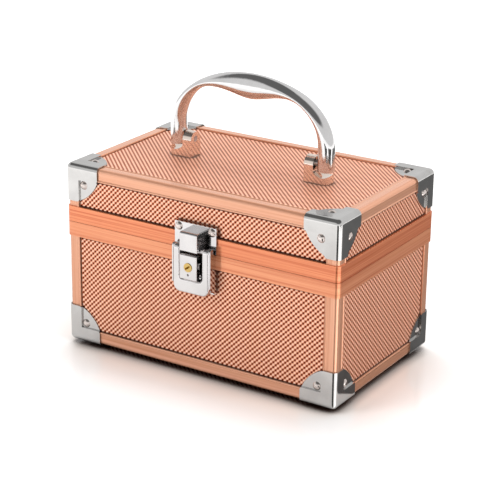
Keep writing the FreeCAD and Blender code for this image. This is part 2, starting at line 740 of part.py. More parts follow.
# Handle: round legs that flatten to a neck and swell to the grip, under a half-oval outer arch
def handle_shape():
    """A loft through ovals that hang inwards from the outer arch, with the pivot line at z = 0."""
    reach = d.handle_half_span.value + d.leg_radius.value
    rise, arch = d.handle_rise.value, d.arch_rise.value
    leg = (d.leg_radius.value, d.leg_radius.value)
    # Half thickness and half depth at angles round the arch, counted from the crown
    ovals = [
        (0, (d.grip_thickness.value / 2, d.grip_depth.value / 2)),
        (d.neck_angle.value, (d.neck_thickness.value / 2, d.neck_depth.value / 2)),
        (90, leg),
    ]

    def oval_at(angle):
        """Eases from one given oval to the next."""
        for (start, first), (end, second) in zip(ovals, ovals[1:]):
            if angle <= end:
                part = (angle - start) / (end - start)
                ease = part * part * (3 - 2 * part)
                return [a + (b - a) * ease for a, b in zip(first, second)]

    def station(angle, drop=0):
        """The middle of an oval, the direction out of the arch and the oval's half sizes."""
        turn = math.radians(angle)
        outward = Vector(math.sin(turn) / reach, 0, math.cos(turn) / arch).normalize()
        edge = Vector(reach * math.sin(turn), 0, rise - arch + arch * math.cos(turn) - drop)
        oval = oval_at(angle)
        return edge - outward * oval[0], outward, oval

    # The loft runs on below the legs and is cut level there, so that the legs keep straight to their ends
    leg_steps, arch_steps = 5, 18
    run_on = d.leg_radius.value
    leg_length = rise - arch + d.leg_below_pivot.value + run_on
    half = [station(90, leg_length * (leg_steps - i) / leg_steps) for i in range(leg_steps)]
    half += [station(90 - 90 * i / arch_steps) for i in range(arch_steps)]
    mirrored = [(Vector(-m.x, 0, m.z), Vector(-o.x, 0, o.z), oval) for m, o, oval in reversed(half)]
    wires = []
    for middle, outward, (thick, deep) in half + [station(0)] + mirrored:
        stretch = Matrix()
        stretch.scale(thick, deep, 1)
        ring = Part.Wire(Part.makeCircle(1)).transformGeometry(stretch)
        # The oval's own x is its thickness, which points away from the hollow of the handle
        ring.Placement = Placement(middle, Rotation(outward, Y, outward.cross(Y), "XYZ"))
        wires.append(Part.Wire(ring.Edges))
    grip_bar = Part.makeLoft(wires, True, False)
    corner = Vector(-2 * reach, -2 * reach, -d.leg_below_pivot.value - 4 * run_on)
    grip_bar = grip_bar.cut(Part.makeBox(4 * reach, 4 * reach, 4 * run_on, corner))
    for side in (-1, 1):
        start = Vector(side * (reach - 2 * d.leg_radius.value - d.bracket_gap.value), 0, 0)
        bore_length = d.pivot_pin_engagement.value + 2 * d.bracket_gap.value
        bore_radius = d.pivot_pin_radius.value + d.running_gap.value
        grip_bar = grip_bar.cut(cylinder_between(start, side * X, bore_radius, bore_length))
    return grip_bar


place(new_piece("handle", handle_shape()), 0, 0, pivot_level)

# Latch keeper: a plate on the lid's rim with a foot on the board and a hook that hangs over the flap's barrel
front = front_rim_face
panel_gap = d.rim_proud + d.profile_thickness
plate = d.latch_plate_thickness


def add_plate(body, w, low, high, foot_low, foot_high, holes):
    """A plate on the rim with a thicker foot behind it, drawn in front view from the seam."""
    for name, z_low, z_high, depth, backwards in (
        ("plate", low, high, plate, False),
        ("foot", foot_low, foot_high, panel_gap, True),
    ):
        sketch = sketch_on(body, "XZ_Plane", name)
        draw(sketch, rectangle(-w, z_low, w, z_high))
        for hole_x, hole_z in holes:
            draw_circle(sketch, hole_x, hole_z, rivet_hole)
        pad(body, sketch, depth, backwards)


keeper = new_body("latch_keeper")
rim_clear = d.lid_rim_height + d.fit_gap
keeper_holes = [(side * d.keeper_rivet_offset, d.keeper_rivet_rise) for side in (-1, 1)]
high = d.keeper_height
add_plate(keeper, d.keeper_half_width, d.latch_seam_gap, high, rim_clear, high, keeper_holes)
hook = sketch_on(keeper, "YZ_Plane", "hook", -d.hook_half_width)
tongue_back = lock_front - d.tongue_thickness
roof_low = d.hook_top - d.hook_roof
draw(
    hook,
    [
        (-plate / 2, roof_low),
        (-plate / 2, d.hook_top),
        (-lock_front, d.hook_top),
        (-lock_front, d.hook_bottom),
        (-tongue_back, d.hook_bottom),
        (-tongue_back, roof_low),
    ],
)
pad(keeper, hook, 2 * d.hook_half_width)
hook_high, hook_face = d.hook_top.value, -lock_front.value
round_edges(
    keeper,
    d.hook_round,
    lambda edge: lies_at(edge, "Y", hook_face) and lies_at(edge, "Z", hook_high),
)
tongue_high = hook_high - d.hook_round.value
round_edges(
    keeper,
    d.lock_edge_round,
    lambda edge: lies_at(edge, "Y", hook_face) and not lies_at(edge, "Z", tongue_high),
)
place(keeper, 0, front, lid_edge)

# Latch plate: a channel on the base's rim whose cheeks carry the flap's pin
latch_plate = new_body("latch_plate")
plate_holes = [(side * d.plate_rivet_offset, -d.plate_rivet_drop) for side in (-1, 1)]
plate_low = -d.latch_plate_drop
base_rim_clear = -(d.base_rim_height + d.fit_gap)
latch_width, plate_high = d.latch_half_width, -d.latch_seam_gap
add_plate(latch_plate, latch_width, plate_low, plate_high, plate_low, base_rim_clear, plate_holes)
pivot_y, pivot_z = -d.flap_pivot_reach, d.flap_pivot_rise
lug = d.cheek_reach - d.flap_pivot_reach
right_cheek_at = d.latch_half_width - d.cheek_thickness
for name, lift in (("left_cheek", -d.latch_half_width), ("right_cheek", right_cheek_at)):
    cheek = sketch_on(latch_plate, "YZ_Plane", name, lift)
    draw(
        cheek,
        [
            (-plate / 2, -d.latch_seam_gap),
            (-plate / 2, plate_low),
            (-d.cheek_reach, plate_low + d.flap_corner_radius),
            (-d.cheek_reach, pivot_z),
            (pivot_y + lug, pivot_z, pivot_y, pivot_z, -1),
            (pivot_y + lug, -d.latch_seam_gap),
        ],
    )
    draw_circle(cheek, pivot_y, pivot_z, d.flap_pin_radius + d.fit_gap)
    pad(latch_plate, cheek, d.cheek_thickness)
place(latch_plate, 0, front, seam)

flap_pin = cylinder_between(Vector(0, 0, 0), X, d.flap_pin_radius.value, 2 * d.latch_half_width.value)
place(new_piece("flap_pin", flap_pin), -d.latch_half_width, front + pivot_y, seam + pivot_z)

# Flap: an open frame round the lock, whose arms roll back to a barrel on the pin behind the keeper's hook
flap = new_body("latch_flap")
flap_half = d.latch_half_width - d.cheek_thickness - d.flap_side_gap
window_half = flap_half - d.flap_bar
flap_back = d.latch_reach - d.flap_thickness
barrel_top = pivot_z + d.barrel_radius
arm_top = barrel_top - (d.latch_reach - d.flap_pivot_reach)
low, sill, fillet = -d.flap_drop, -d.flap_window_drop, d.flap_window_radius
flap_side = sketch_on(flap, "YZ_Plane", "side", -flap_half)
draw(
    flap_side,
    [
        (-flap_back, low),
        (-d.latch_reach, low),
        (-d.latch_reach, arm_top),
        (pivot_y, barrel_top, pivot_y, arm_top, -1),
        (pivot_y, pivot_z),
        (-flap_back, pivot_z),
    ],
)
pad(flap, flap_side, 2 * flap_half)
flap_edges = (-flap_half.value, flap_half.value)
round_edges(
    flap,
    d.flap_corner_radius,
    lambda edge: lies_at(edge, "Z", low.value) and any(lies_at(edge, "X", x) for x in flap_edges),
)
window = sketch_on(flap, "XZ_Plane", "window")
draw(
    window,
    [
        (window_half, barrel_top + d.barrel_radius),
        (-window_half, barrel_top + d.barrel_radius),
        (-window_half, sill + fillet),
        (fillet - window_half, sill, fillet - window_half, sill + fillet, 1),
        (window_half - fillet, sill),
        (window_half, sill + fillet, window_half - fillet, sill + fillet, 1),
    ],
)
pocket(flap, window, forwards=True)
round_edges(
    flap,
    d.flap_edge_round,
    lambda edge: lies_at(edge, "Y", -d.latch_reach.value) and not lies_at(edge, "Z", arm_top.value),
)
barrel = sketch_on(flap, "YZ_Plane", "barrel", -flap_half)
draw_circle(barrel, pivot_y, pivot_z, d.barrel_radius)
pad(flap, barrel, 2 * flap_half)
tab = sketch_on(flap, "XZ_Plane", "lock_tab", flap_back)
tab_middle = -d.plug_drop
tab_half = d.tab_height / 2
tab_inner, tab_outer = window_half - d.tab_reach, window_half + d.flap_bar / 2
draw(tab, rectangle(tab_inner, tab_middle - tab_half, tab_outer, tab_middle + tab_half))
pad(flap, tab, d.tab_thickness)
bore = sketch_on(flap, "YZ_Plane", "pin_bore", -flap_half)
draw_circle(bore, pivot_y, pivot_z, d.flap_pin_radius + d.running_gap)
pocket(flap, bore, forwards=True)
place(flap, 0, front, seam)

# Lock body: a block in the flap's window, bored for the key plug and slotted for its cam
lock = new_body("lock_body")
lock_high = -d.lock_top_drop
lock_low = lock_high - d.lock_height
cam_back = flap_back + d.tab_thickness + d.cam_gap
cam_front = cam_back + d.cam_thickness
block = sketch_on(lock, "XZ_Plane", "block", plate)
draw(block, rectangle(-d.lock_half_width, lock_low, d.lock_half_width, lock_high))
pad(lock, block, lock_front - plate)
round_edges(lock, d.lock_edge_round, lambda edge: lies_at(edge, "Y", -lock_front.value))
cam_room = d.cam_width / 2 + d.cam_gap
slot = sketch_on(lock, "XZ_Plane", "cam_slot", cam_back - d.cam_gap)
draw(slot, rectangle(-cam_room, lock_low - d.cam_gap, d.lock_half_width + d.cam_gap, cam_room - d.plug_drop))
pocket(lock, slot, d.cam_thickness + 2 * d.cam_gap, forwards=True)
for name, lift, radius in (
    ("plug_bore", cam_front, d.plug_radius + d.running_gap),
    ("tail_bore", cam_back - d.cam_thickness, d.plug_tail_radius + d.running_gap),
):
    bore = sketch_on(lock, "XZ_Plane", name, lift)
    draw_circle(bore, ZERO, -d.plug_drop, radius)
    pocket(lock, bore, forwards=True)
index_hole = sketch_on(lock, "XZ_Plane", "index_hole", lock_front - d.index_hole_depth)
draw_circle(index_hole, ZERO, -d.index_hole_drop, d.index_hole_radius)
pocket(lock, index_hole, forwards=True)
place(lock, 0, front, seam)

# Key plug with its slot, and the cam on its tail
plug = new_body("key_plug")
drum = sketch_on(plug, "XZ_Plane", "drum", cam_front + d.fit_gap)
draw_circle(drum, ZERO, ZERO, d.plug_radius)
pad(plug, drum, plug_front - cam_front - d.fit_gap)
tail = sketch_on(plug, "XZ_Plane", "tail", cam_back)
draw_circle(tail, ZERO, ZERO, d.plug_tail_radius)
pad(plug, tail, d.cam_thickness + d.fit_gap)
key_slot = sketch_on(plug, "XZ_Plane", "key_slot", plug_front - d.key_slot_depth)
key_slot.setExpression("AttachmentOffset.Rotation.Angle", d.key_slot_angle.text)
slot_x, slot_y = d.key_slot_length / 2, d.key_slot_width / 2
draw(key_slot, rectangle(-slot_x, -slot_y, slot_x, slot_y))
pocket(plug, key_slot, forwards=True)
place(plug, 0, front, seam - d.plug_drop)

cam = new_body("lock_cam")
arm = sketch_on(cam, "XZ_Plane", "arm", cam_back)
c = d.cam_width / 2
tip = c - d.cam_length
draw(arm, [(-c, tip), (c, tip, ZERO, tip, 1), (c, ZERO), (-c, ZERO, ZERO, ZERO, 1)])
draw_circle(arm, ZERO, ZERO, d.plug_tail_radius)
pad(cam, arm, d.cam_thickness)
place(cam, 0, front, seam - d.plug_drop)


# Back hinges: butt leaves on the rims, with a heel on the lid's knuckle that stops the lid
def make_leaf(name, x, upward):
    """Drawn from the hinge's axis, with the rim's face at y = -hinge_axis_out."""
    body = new_body(name)
    sign = 1 if upward else -1
    w, k, gap = d.leaf_half_width, d.knuckle_half_width, d.knuckle_gap
    face = -hinge_axis_out
    near, far = sign * hinge_axis_rise, sign * (hinge_axis_rise + d.leaf_height)
    flat = sketch_on(body, "XZ_Plane", "leaf", hinge_axis_out - d.leaf_thickness)
    draw(flat, rectangle(-w, near, w, far) if upward else rectangle(-w, far, w, near))
    for hand in (-1, 1):
        draw_circle(flat, hand * d.leaf_rivet_offset, sign * d.leaf_rivet_rise, rivet_hole)
    pad(body, flat, d.leaf_thickness)
    if upward:
        own, other = [(-k, 2 * k)], [(-w - gap, w - k), (k, w - k + gap)]
    else:
        own, other = [(-w, w - k - gap), (k + gap, w - k - gap)], [(-k - gap, 2 * (k + gap))]
    for i, (start, length) in enumerate(own):
        knuckle = sketch_on(body, "YZ_Plane", f"knuckle{i}", start)
        draw_circle(knuckle, ZERO, ZERO, d.knuckle_radius)
        pad(body, knuckle, length)
        web = sketch_on(body, "YZ_Plane", f"web{i}", start)
        web_far = sign * d.knuckle_radius
        web_corners = (face + d.leaf_thickness / 2, ZERO, ZERO, web_far)
        draw(web, rectangle(*web_corners) if upward else rectangle(web_corners[0], web_far, ZERO, ZERO))
        pad(body, web, length)
    for i, (start, length) in enumerate(other):
        room = sketch_on(body, "YZ_Plane", f"room{i}", start)
        draw_circle(room, ZERO, ZERO, d.knuckle_radius + gap)
        pocket(body, room, length, forwards=True)
    if upward:
        heel = sketch_on(body, "YZ_Plane", "heel", -k)
        h = d.heel_half_thickness
        draw(heel, rectangle(ZERO, -h, d.heel_reach, h))
        pad(body, heel, 2 * k)
    bore = sketch_on(body, "YZ_Plane", "pin_bore", -w - gap)
    draw_circle(bore, ZERO, ZERO, d.hinge_pin_radius + d.running_gap)
    pocket(body, bore, forwards=True)
    place(body, x, back_rim_face + hinge_axis_out, hinge_axis_level)


hinge_pins = []
for side_name, side in (("left", -1), ("right", 1)):
    make_leaf(f"{side_name}_hinge_base_leaf", side * d.hinge_offset, False)
    make_leaf(f"{side_name}_hinge_lid_leaf", side * d.hinge_offset, True)
    start = Vector((side * d.hinge_offset - d.leaf_half_width).value, 0, 0)
    hinge_pins.append(cylinder_between(start, X, d.hinge_pin_radius.value, 2 * d.leaf_half_width.value))
pins_piece = new_piece("hinge_pins", Part.makeCompound(hinge_pins))
place(pins_piece, 0, back_rim_face + hinge_axis_out, hinge_axis_level)

doc.recompute()

# Nothing is written unless every object is sound
for item in doc.Objects:
    if any(word in item.State for word in ("Invalid", "Error")):
        raise RuntimeError(f"{item.Label} failed: {item.State}")
for piece in PIECES:
    if piece.Shape.isNull() or not piece.Shape.isValid() or not piece.Shape.Solids:
        raise RuntimeError(f"{piece.Label} has no sound solid")
os.makedirs("parts", exist_ok=True)
for piece in PIECES:
    piece.Shape.exportStep(f"parts/{piece.Label}.step")
    print(f"{piece.Label}: {len(piece.Shape.Solids)} solids, {piece.Shape.Volume:.1f} mm3")
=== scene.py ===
import math

import bpy
from mathutils import Matrix, Vector


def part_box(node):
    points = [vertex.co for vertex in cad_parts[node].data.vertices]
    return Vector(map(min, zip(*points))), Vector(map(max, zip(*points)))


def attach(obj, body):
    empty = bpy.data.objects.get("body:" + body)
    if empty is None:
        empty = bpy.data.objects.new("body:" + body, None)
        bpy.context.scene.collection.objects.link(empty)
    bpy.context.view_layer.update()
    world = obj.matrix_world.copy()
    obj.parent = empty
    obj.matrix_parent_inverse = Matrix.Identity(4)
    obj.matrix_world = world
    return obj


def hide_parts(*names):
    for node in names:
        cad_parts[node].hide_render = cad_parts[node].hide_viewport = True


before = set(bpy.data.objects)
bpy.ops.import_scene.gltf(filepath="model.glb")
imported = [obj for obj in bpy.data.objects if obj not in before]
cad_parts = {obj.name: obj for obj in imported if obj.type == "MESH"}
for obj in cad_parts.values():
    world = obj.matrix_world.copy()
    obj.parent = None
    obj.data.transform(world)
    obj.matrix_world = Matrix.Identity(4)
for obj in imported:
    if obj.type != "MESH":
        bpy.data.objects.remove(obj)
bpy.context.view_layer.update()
scene = bpy.context.scene
MM = 0.001

# Sizes of the case that the looks need, in millimetres
CASE_SHIFT = 1.7
HALF_WIDTH = 100.0
HALF_DEPTH = 61.0
FRAME_BOTTOM = 3.5
SEAM = 85.5
FRAME_TOP = 124.0
FLANGE = 8.6
BOARD_RECESS = 1.05
BASE_RIM_LOW = SEAM - 9.6
LID_RIM_HIGH = SEAM + 0.3 + 10.3
# Embossing of the boards
EMBOSS_CELL = 3.39
EMBOSS_RISE = 0.2
RIDGE_SHARE = 0.6
SIDE_SHARE = 0.53
# The foil stops this far short of the frames, so the near-black board core shows there as a painted shadow line
FOIL_INSET = 0.55
SHEET_THICKNESS = 0.3
# Fabric trays inside
TRAY_THICKNESS = 1.4
TRAY_ROUND = 0.6
# Points closer than this, in metres, count as one
SAME_PLACE = 1e-6


class Value:
    """A number in a material's nodes. Arithmetic on it adds Math nodes."""

    def __init__(self, finish, socket):
        self.finish = finish
        self.socket = socket

    def math(self, operation, *others):
        return self.finish.node("ShaderNodeMath", {"operation": operation}, [self, *others])

    def __add__(self, other):
        return self.math("ADD", other)

    def __sub__(self, other):
        return self.math("SUBTRACT", other)

    def __mul__(self, other):
        return self.math("MULTIPLY", other)

    def __rsub__(self, other):
        return self.finish.node("ShaderNodeMath", {"operation": "SUBTRACT"}, [other, self])

    def smooth(self, low, high):
        settings = {"interpolation_type": "SMOOTHSTEP"}
        inputs = {"Value": self, "From Min": low, "From Max": high}
        return self.finish.node("ShaderNodeMapRange", settings, inputs)


class Finish:
    """A material with one Principled surface and a method that adds any other node."""

    def __init__(self, name):
        self.material = bpy.data.materials.new(name)
        self.material.use_nodes = True
        self.tree = self.material.node_tree
        self.surface = self.tree.nodes["Principled BSDF"]

    def feed(self, socket, given):
        if isinstance(given, Value):
            self.tree.links.new(given.socket, socket)
        else:
            socket.default_value = given

    def node(self, kind, settings=None, inputs=None, output=0):
        made = self.tree.nodes.new(kind)
        for setting, given in (settings or {}).items():
            setattr(made, setting, given)
        named = inputs.items() if isinstance(inputs, dict) else enumerate(inputs or [])
        for socket, given in named:
            self.feed(made.inputs[socket], given)
        return Value(self, made.outputs[output])

    def coordinates(self, stretch):
        places = self.node("ShaderNodeTexCoord", output="Object")
        return self.node("ShaderNodeMapping", inputs={"Vector": places, "Scale": stretch})

    def ray(self, kind):
        return self.node("ShaderNodeLightPath", output=kind)

    def noise(self, stretch, detail=3.0):
        inputs = {"Vector": self.coordinates(stretch), "Scale": 1.0, "Detail": detail}
        return self.node("ShaderNodeTexNoise", {"noise_dimensions": "3D"}, inputs)

    def mix(self, mask, first, second):
        inputs = {0: mask, 6: first, 7: second}
        return self.node("ShaderNodeMix", {"data_type": "RGBA"}, inputs, output=2)

    def openness(self, reach, low, high):
        """From 0 in a gap or beside a wall to 1 where nothing stands within reach."""
        settings = {"samples": 16}
        air = self.node("ShaderNodeAmbientOcclusion", settings, {"Distance": reach * MM}, output="AO")
        return air.smooth(low, high)

    def bump(self, height, strength, distance):
        inputs = {"Height": height, "Strength": strength, "Distance": distance}
        return self.node("ShaderNodeBump", inputs=inputs)

    def set(self, **sockets):
        for name, given in sockets.items():
            self.feed(self.surface.inputs[name.replace("_", " ")], given)
        return self.material


# Share of the fine lines in a brushed surface, and how much slower the broad ones run
FINE_SHARE = 0.55
BROAD_STRETCH = 0.22
# Near-black colour of the painted shade in the narrow gaps of plated metal
GAP_SHADE = (0.02, 0.02, 0.02, 1)
# Foil colours: crest tones; flank and dent tones that are painted shade of the embossing, the dents partly a
# dark print too; and the painted shade along the edges
FOIL_CREST, FOIL_CREST_LIGHT = (0.95, 0.60, 0.44, 1), (1.0, 0.70, 0.54, 1)
FOIL_SHADED_FLANK = (0.80, 0.27, 0.14, 1)
FOIL_PIT_PRINT_AND_SHADE = (0.15, 0.020, 0.008, 1)
FOIL_EDGE_SHADE = (0.045, 0.010, 0.005, 1)


def brushed_metal(name, colour, dark, stretch, rough=0.2):
    """Anodised metal with fine drawing lines along the direction that the stretch leaves slow."""
    finish = Finish(name)
    fine = finish.noise(stretch)
    broad = finish.noise([slow * BROAD_STRETCH for slow in stretch])
    streak = fine * FINE_SHARE + broad * (1 - FINE_SHARE)
    tone = finish.mix(streak.smooth(0.32, 0.62), (*dark, 1), (*colour, 1))
    return finish.set(
        Base_Color=tone,
        Metallic=0.6,
        Coat_Weight=0.35,
        Roughness=streak * 0.16 + rough - 0.08,
        Normal=finish.bump(streak, 0.05, 0.0002),
    )


def polished_metal(name, light, dark, rough=0.05):
    """Plated metal with a faint unevenness, and painted shade, near black, in its narrow gaps."""
    finish = Finish(name)
    wear = finish.noise((60, 60, 60), 4.0)
    unshaded_tone = finish.mix(wear.smooth(0.35, 0.65), (*dark, 1), (*light, 1))
    # Painted shade: ambient occlusion darkens narrow gaps to near black
    tone = finish.mix(finish.openness(1.2, 0.1, 0.5), GAP_SHADE, unshaded_tone)
    return finish.set(Base_Color=tone, Metallic=1.0, Roughness=wear * 0.08 + rough)


def embossed_foil(name, slant, share):
    """Metallic foil whose colour carries painted shading of its embossing: light crests, flanks darkened with
    painted shade, dents darkened partly by a dark print and partly by painted shade, and painted shade beside
    walls. One cell of the pattern fills the UV square. The slant is 1 or -1 for ridges that rise to the right
    or fall. The share is that of the ridges, beside the notches, and also sets which diagonal the painted shade
    darkens more."""
    finish = Finish(name)
    places = finish.node("ShaderNodeTexCoord", output="UV")
    split = finish.tree.nodes.new("ShaderNodeSeparateXYZ")
    finish.feed(split.inputs[0], places)
    across, along = (Value(finish, socket) * math.tau for socket in split.outputs[:2])
    furrow = (across - along * slant).math("COSINE")
    notch = (across + along * slant).math("COSINE")
    dent = furrow * share + notch * (1 - share)
    grain = finish.noise((900, 900, 900), 2.0)
    crest = finish.mix(grain.smooth(0.3, 0.7), FOIL_CREST, FOIL_CREST_LIGHT)
    # Painted shade of the embossing: flanks and dents darker, along one diagonal more than the other
    shaded_flank = finish.mix(dent.smooth(-0.6, 0.1), crest, FOIL_SHADED_FLANK)
    dents_print_and_shade = finish.mix(dent.smooth(0.05, 0.55), shaded_flank, FOIL_PIT_PRINT_AND_SHADE)
    # Painted shade: near black within 5 mm of walls, along the frames and around the latch and brackets
    tone = finish.mix(finish.openness(5, 0.42, 0.85), FOIL_EDGE_SHADE, dents_print_and_shade)
    return finish.set(Base_Color=tone, Metallic=0.5, Roughness=grain * 0.1 + 0.28, Specular_IOR_Level=0.08)


def plain_finish(name, light, dark, scale, rough, metal=0.0, relief=0.0):
    """A finely mottled surface, with a grain that stands out where a relief in metres is given."""
    finish = Finish(name)
    grain = finish.noise((scale, scale, scale), 4.0)
    tone = finish.mix(grain.smooth(0.3, 0.7), (*dark, 1), (*light, 1))
    sockets = {"Base_Color": tone, "Metallic": metal, "Roughness": grain * 0.12 + rough - 0.06}
    if relief:
        sockets["Normal"] = finish.bump(grain, 0.5, relief)
    return finish.set(**sockets)


ROSE, ROSE_DARK = (0.84, 0.43, 0.275), (0.64, 0.28, 0.155)
lid_rim_metal = brushed_metal("rose_lid_rim_brushed", (0.87, 0.30, 0.14), (0.60, 0.145, 0.058), (9, 9, 1500))
base_rim_metal = brushed_metal("rose_base_rim_brushed", (0.89, 0.36, 0.185), (0.66, 0.205, 0.095), (9, 9, 1500))
long_metal = brushed_metal("rose_profile_brushed_x", ROSE, ROSE_DARK, (9, 1500, 1500))
deep_metal = brushed_metal("rose_profile_brushed_y", ROSE, ROSE_DARK, (1500, 9, 1500))
upright_metal = brushed_metal("rose_profile_brushed_z", ROSE, ROSE_DARK, (1500, 1500, 9), 0.12)
cap_chrome = polished_metal("cap_chrome", (0.64, 0.63, 0.62), (0.56, 0.55, 0.54))
handle_chrome = polished_metal("handle_chrome", (0.78, 0.77, 0.77), (0.72, 0.71, 0.71))
latch_chrome = polished_metal("latch_chrome", (0.77, 0.75, 0.75), (0.71, 0.69, 0.69))
# Chrome with a copper tint that is a painted reflection of the rose foil
bracket_chrome_painted_reflection = polished_metal("bracket_chrome_painted_reflection", (0.90, 0.77, 0.68), (0.84, 0.71, 0.62))
rivet_nickel = polished_metal("rivet_nickel", (0.80, 0.72, 0.68), (0.70, 0.62, 0.58), 0.1)
rising_foil = embossed_foil("embossed_foil_rising", 1, RIDGE_SHARE)
falling_foil = embossed_foil("embossed_foil_falling", -1, RIDGE_SHARE)
side_foil = embossed_foil("embossed_foil_sides", -1, SIDE_SHARE)
# Near-black board core: partly the board's dark backing and partly a painted shadow line where it shows beside
# the foil
board = plain_finish("board_core_and_shadow_line", (0.045, 0.020, 0.013), (0.022, 0.010, 0.007), 700, 0.7)
steel = plain_finish("satin_steel", (0.60, 0.60, 0.62), (0.48, 0.48, 0.50), 400, 0.32, metal=1.0)
brass = polished_metal("key_brass", (0.80, 0.58, 0.22), (0.64, 0.44, 0.15), 0.18)
rubber = plain_finish("foot_rubber", (0.05, 0.05, 0.05), (0.03, 0.03, 0.03), 900, 0.75, relief=0.0001)
velvet = plain_finish("lining_velvet", (0.060, 0.055, 0.060), (0.022, 0.020, 0.022), 1600, 0.9, relief=0.0002)
velvet.node_tree.nodes["Principled BSDF"].inputs["Sheen Weight"].default_value = 0.6

for name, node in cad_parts.items():
    if name.endswith("_panel"):
        finish = board
    elif name.endswith("_rim"):
        finish = lid_rim_metal if name == "lid_rim" else base_rim_metal
    elif name.endswith("_post"):
        finish = upright_metal
    elif name.endswith("_profile"):
        finish = long_metal if "front" in name or "back" in name else deep_metal
    elif name == "feet":
        finish = rubber
    elif name == "key_plug":
        finish = brass
    elif name in ("handle_pins", "bracket_screws", "hinge_pins", "flap_pin", "lock_cam"):
        finish = steel
    elif name.endswith("_rivets"):
        finish = rivet_nickel
    elif name.startswith("latch_") or name == "lock_body":
        finish = latch_chrome
    elif name.endswith("_bracket"):
        finish = bracket_chrome_painted_reflection
    elif name == "handle":
        finish = handle_chrome
    else:
        finish = cap_chrome
    for slot in node.material_slots:
        slot.material = finish


def start_piece():
    if bpy.context.object and bpy.context.object.mode != "OBJECT":
        bpy.ops.object.mode_set(mode="OBJECT")
    bpy.ops.object.select_all(action="DESELECT")


def apply_modifier(piece, kind, **settings):
    modifier = piece.modifiers.new(kind.title(), kind)
    for setting, given in settings.items():
        setattr(modifier, setting, given)
    bpy.ops.object.modifier_apply(modifier=modifier.name)


def select_points(piece, chosen):
    """Selects the points of the piece in edit mode that the test picks."""
    bpy.ops.object.mode_set(mode="EDIT")
    bpy.ops.mesh.select_mode(type="VERT")
    bpy.ops.mesh.select_all(action="DESELECT")
    bpy.ops.object.mode_set(mode="OBJECT")
    for point in piece.data.vertices:
        point.select = chosen(point.co)
    bpy.ops.object.mode_set(mode="EDIT")


def settle(piece, placement, body, finish):
    """Moves a finished piece to its place, with the place in its mesh, and ties it to a body."""
    piece.matrix_world = placement
    bpy.ops.object.transform_apply(location=True, rotation=True, scale=True)
    piece.data.materials.clear()
    piece.data.materials.append(finish)
    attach(piece, body)


# Directions of a face's own x, y and outward z
X, Y, Z = Vector((1, 0, 0)), Vector((0, 1, 0)), Vector((0, 0, 1))
FACES = {
    "front": (X, Z, -Y),
    "back": (-X, Z, Y),
    "left": (-Y, Z, -X),
    "right": (Y, Z, X),
    "top": (X, Y, Z),
    "bottom": (X, -Y, -Z),
}


def face_placement(face, centre):
    """A placement whose x and y lie in the face and whose z points out of it, from millimetres."""
    turn = Matrix(FACES[face]).transposed().to_4x4()
    place = Vector((centre[0], centre[1] + CASE_SHIFT, centre[2])) * MM
    return Matrix.Translation(place) @ turn


def embossed_sheet(name, face, width, height, centre, body):
    """One cell of the embossing is raised and dented, repeated over the board and trimmed to its window."""
    start_piece()
    cell = EMBOSS_CELL * MM
    bpy.ops.mesh.primitive_grid_add(x_subdivisions=4, y_subdivisions=4, size=1)
    sheet = bpy.context.object
    sheet.name = name
    sheet.scale = (cell, cell, 1)
    bpy.ops.object.transform_apply(scale=True)

    # The slant and share of each face also set which diagonal of the foil colour carries the most painted shade
    slant, share, foil = -1, RIDGE_SHARE, falling_foil
    if face in ("front", "back", "bottom"):
        slant, foil = 1, rising_foil
    elif face in ("left", "right"):
        share, foil = SIDE_SHARE, side_foil

    def dent(co):
        furrow = math.cos(math.tau * (co.x - slant * co.y) / cell)
        notch = math.cos(math.tau * (co.x + slant * co.y) / cell)
        return furrow * share + notch * (1 - share)

    slope = 2 * share - 1
    for depth in (-1, -slope, slope, 1):
        select_points(sheet, lambda co: abs(dent(co) - depth) < 0.05)
        bpy.ops.transform.translate(value=(0, 0, -depth * EMBOSS_RISE * MM))
        bpy.ops.object.mode_set(mode="OBJECT")
    for axis, length in ((0, width * MM), (1, height * MM)):
        count = math.ceil(length / cell) + 1
        step = [0.0, 0.0, 0.0]
        step[axis] = cell
        sheet.location[axis] = -cell * (count - 1) / 2
        apply_modifier(
            sheet,
            "ARRAY",
            count=count,
            use_relative_offset=False,
            use_constant_offset=True,
            constant_offset_displace=step,
            use_merge_vertices=True,
            merge_threshold=SAME_PLACE,
        )
    bpy.ops.object.transform_apply(location=True)
    for axis, half in ((0, width * MM / 2), (1, height * MM / 2)):
        for side in (-1, 1):
            normal = [0.0, 0.0, 0.0]
            normal[axis] = side
            bpy.ops.object.mode_set(mode="EDIT")
            bpy.ops.mesh.select_all(action="SELECT")
            edge = [half * n for n in normal]
            bpy.ops.mesh.bisect(plane_co=edge, plane_no=normal, clear_outer=True, threshold=SAME_PLACE)
            bpy.ops.object.mode_set(mode="OBJECT")
    apply_modifier(sheet, "SOLIDIFY", thickness=SHEET_THICKNESS * MM, offset=-1)
    bpy.ops.object.shade_smooth()
    settle(sheet, face_placement(face, centre), body, foil)


window_x = 2 * (HALF_WIDTH - FLANGE - FOIL_INSET)
window_y = 2 * (HALF_DEPTH - FLANGE - FOIL_INSET)
face_out_x = HALF_WIDTH - BOARD_RECESS + EMBOSS_RISE
face_out_y = HALF_DEPTH - BOARD_RECESS + EMBOSS_RISE
HALVES = {"base": (FRAME_BOTTOM + FLANGE, BASE_RIM_LOW), "lid": (LID_RIM_HIGH, FRAME_TOP - FLANGE)}
for half, (low, high) in HALVES.items():
    middle = (low + high) / 2
    tall = high - low - 2 * FOIL_INSET
    embossed_sheet(f"{half}_front_foil", "front", window_x, tall, (0, -face_out_y, middle), half)
    embossed_sheet(f"{half}_back_foil", "back", window_x, tall, (0, face_out_y, middle), half)
    embossed_sheet(f"{half}_left_foil", "left", window_y, tall, (-face_out_x, 0, middle), half)
    embossed_sheet(f"{half}_right_foil", "right", window_y, tall, (face_out_x, 0, middle), half)
top_level = FRAME_TOP - BOARD_RECESS + EMBOSS_RISE
